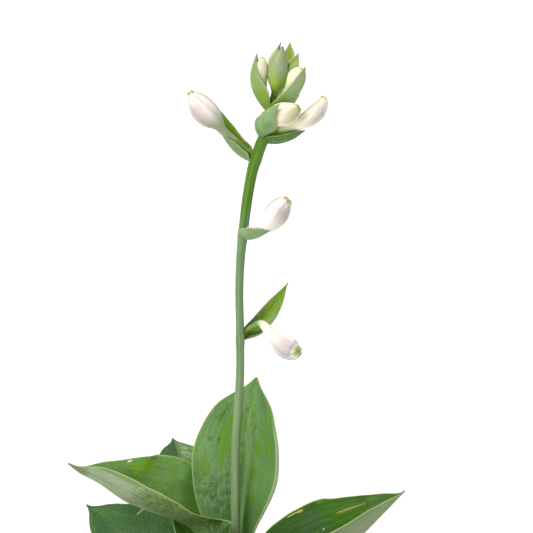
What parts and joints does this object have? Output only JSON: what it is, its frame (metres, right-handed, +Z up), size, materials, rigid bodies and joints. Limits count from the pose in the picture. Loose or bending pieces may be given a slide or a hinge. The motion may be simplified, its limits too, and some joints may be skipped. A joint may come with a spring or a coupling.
{
  "type": "potted hosta plant",
  "caption": "Hosta in a plain tapered clay pot: broad folded ribbed leaves round one upright flower stem with pale buds in leafy bracts, standing on any flat surface.",
  "frame": {"origin": "centre of the pot's underside", "axes": "+Z up along the flower stem, the pictured side looks along -Y, +X to the viewer's right"},
  "size_m": [0.2121, 0.1964, 0.4728],
  "materials": {
    "clay": "unglazed fired clay, matte, with pale lime bloom",
    "soil": "damp potting soil with bark and perlite",
    "crown": "cream rootstock with papery brown sheaths",
    "scape": "waxy stem, yellow-green above and grey-green below",
    "leaf": "satin leaf with a grey waxy bloom and sunken veins",
    "bract": "waxy bract, grey-green outside and bright green inside",
    "bud": "satin white petals with a faint mauve flush",
    "young_bud": "satin unripe petals, yellow-green"
  },
  "bodies": {
    "root": {"pot": "clay", "soil": "soil", "crown": "crown", "scape": "scape", "leaf_upright": "leaf", "leaf_long_left": "leaf", "leaf_behind_left": "leaf", "leaf_low_left": "leaf", "leaf_young_left": "leaf", "leaf_right": "leaf", "leaf_front_right": "leaf", "leaf_front_left": "leaf", "leaf_behind": "leaf", "leaf_behind_right": "leaf", "leaf_young_front": "leaf", "bract_left": "bract", "bract_front": "bract", "bract_right": "bract", "bract_upper_right": "bract", "bract_upper_left": "bract", "bract_middle": "bract", "bract_lower": "bract", "bract_back": "bract", "bract_top_front": "bract", "bract_top_left": "bract", "bract_top_back": "bract", "bract_top_right": "bract", "bud_left": "bud", "bud_front": "bud", "bud_right": "bud", "bud_upper_right": "bud", "bud_upper_left": "bud", "bud_middle": "bud", "bud_lower": "bud", "bud_back": "bud", "bud_top_front": "young_bud", "bud_top_left": "young_bud", "bud_top_back": "young_bud", "bud_top_right": "young_bud"}
  },
  "joints": []
}
